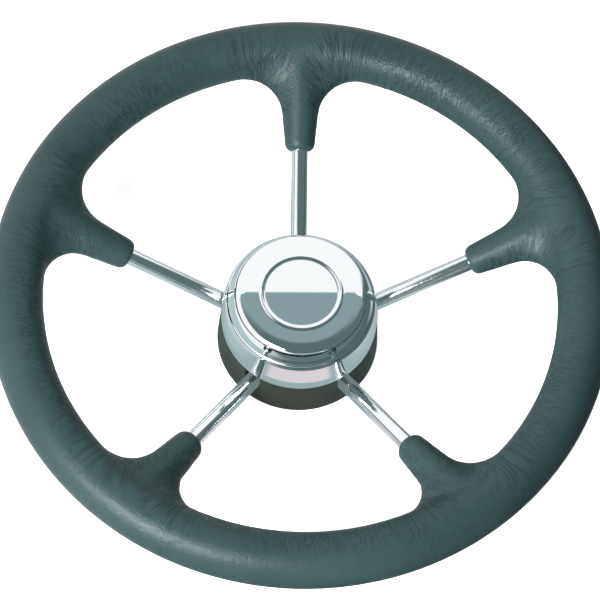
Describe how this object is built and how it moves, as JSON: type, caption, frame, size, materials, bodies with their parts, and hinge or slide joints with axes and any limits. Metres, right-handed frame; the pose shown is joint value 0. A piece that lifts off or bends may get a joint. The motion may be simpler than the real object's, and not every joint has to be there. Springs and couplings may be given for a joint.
{
  "type": "boat steering wheel",
  "caption": "Dished steering wheel for a boat: padded rim with sleeves that run down slim bar spokes to a hub under a polished round cap.",
  "frame": {"origin": "centre of the hub's back face, which faces the helm", "axes": "+Z along the shaft axis towards the helmsman, +Y along one spoke"},
  "size_m": [0.35, 0.35, 0.0739],
  "materials": {
    "rim_cover": "soft grain, satin",
    "polished_steel": "mirror polish",
    "inner_steel": "as turned",
    "hub_base": "fine matte",
    "seal_rubber": "smooth"
  },
  "bodies": {
    "root": {"rim_cover": "rim_cover", "rim_core": "inner_steel", "hub_boss": "inner_steel", "hub_base": "hub_base", "hub_cap": "polished_steel", "cap_seal": "seal_rubber", "base_screws": "inner_steel", "spoke_0": "polished_steel", "spoke_1": "polished_steel", "spoke_2": "polished_steel", "spoke_3": "polished_steel", "spoke_4": "polished_steel"}
  },
  "joints": []
}
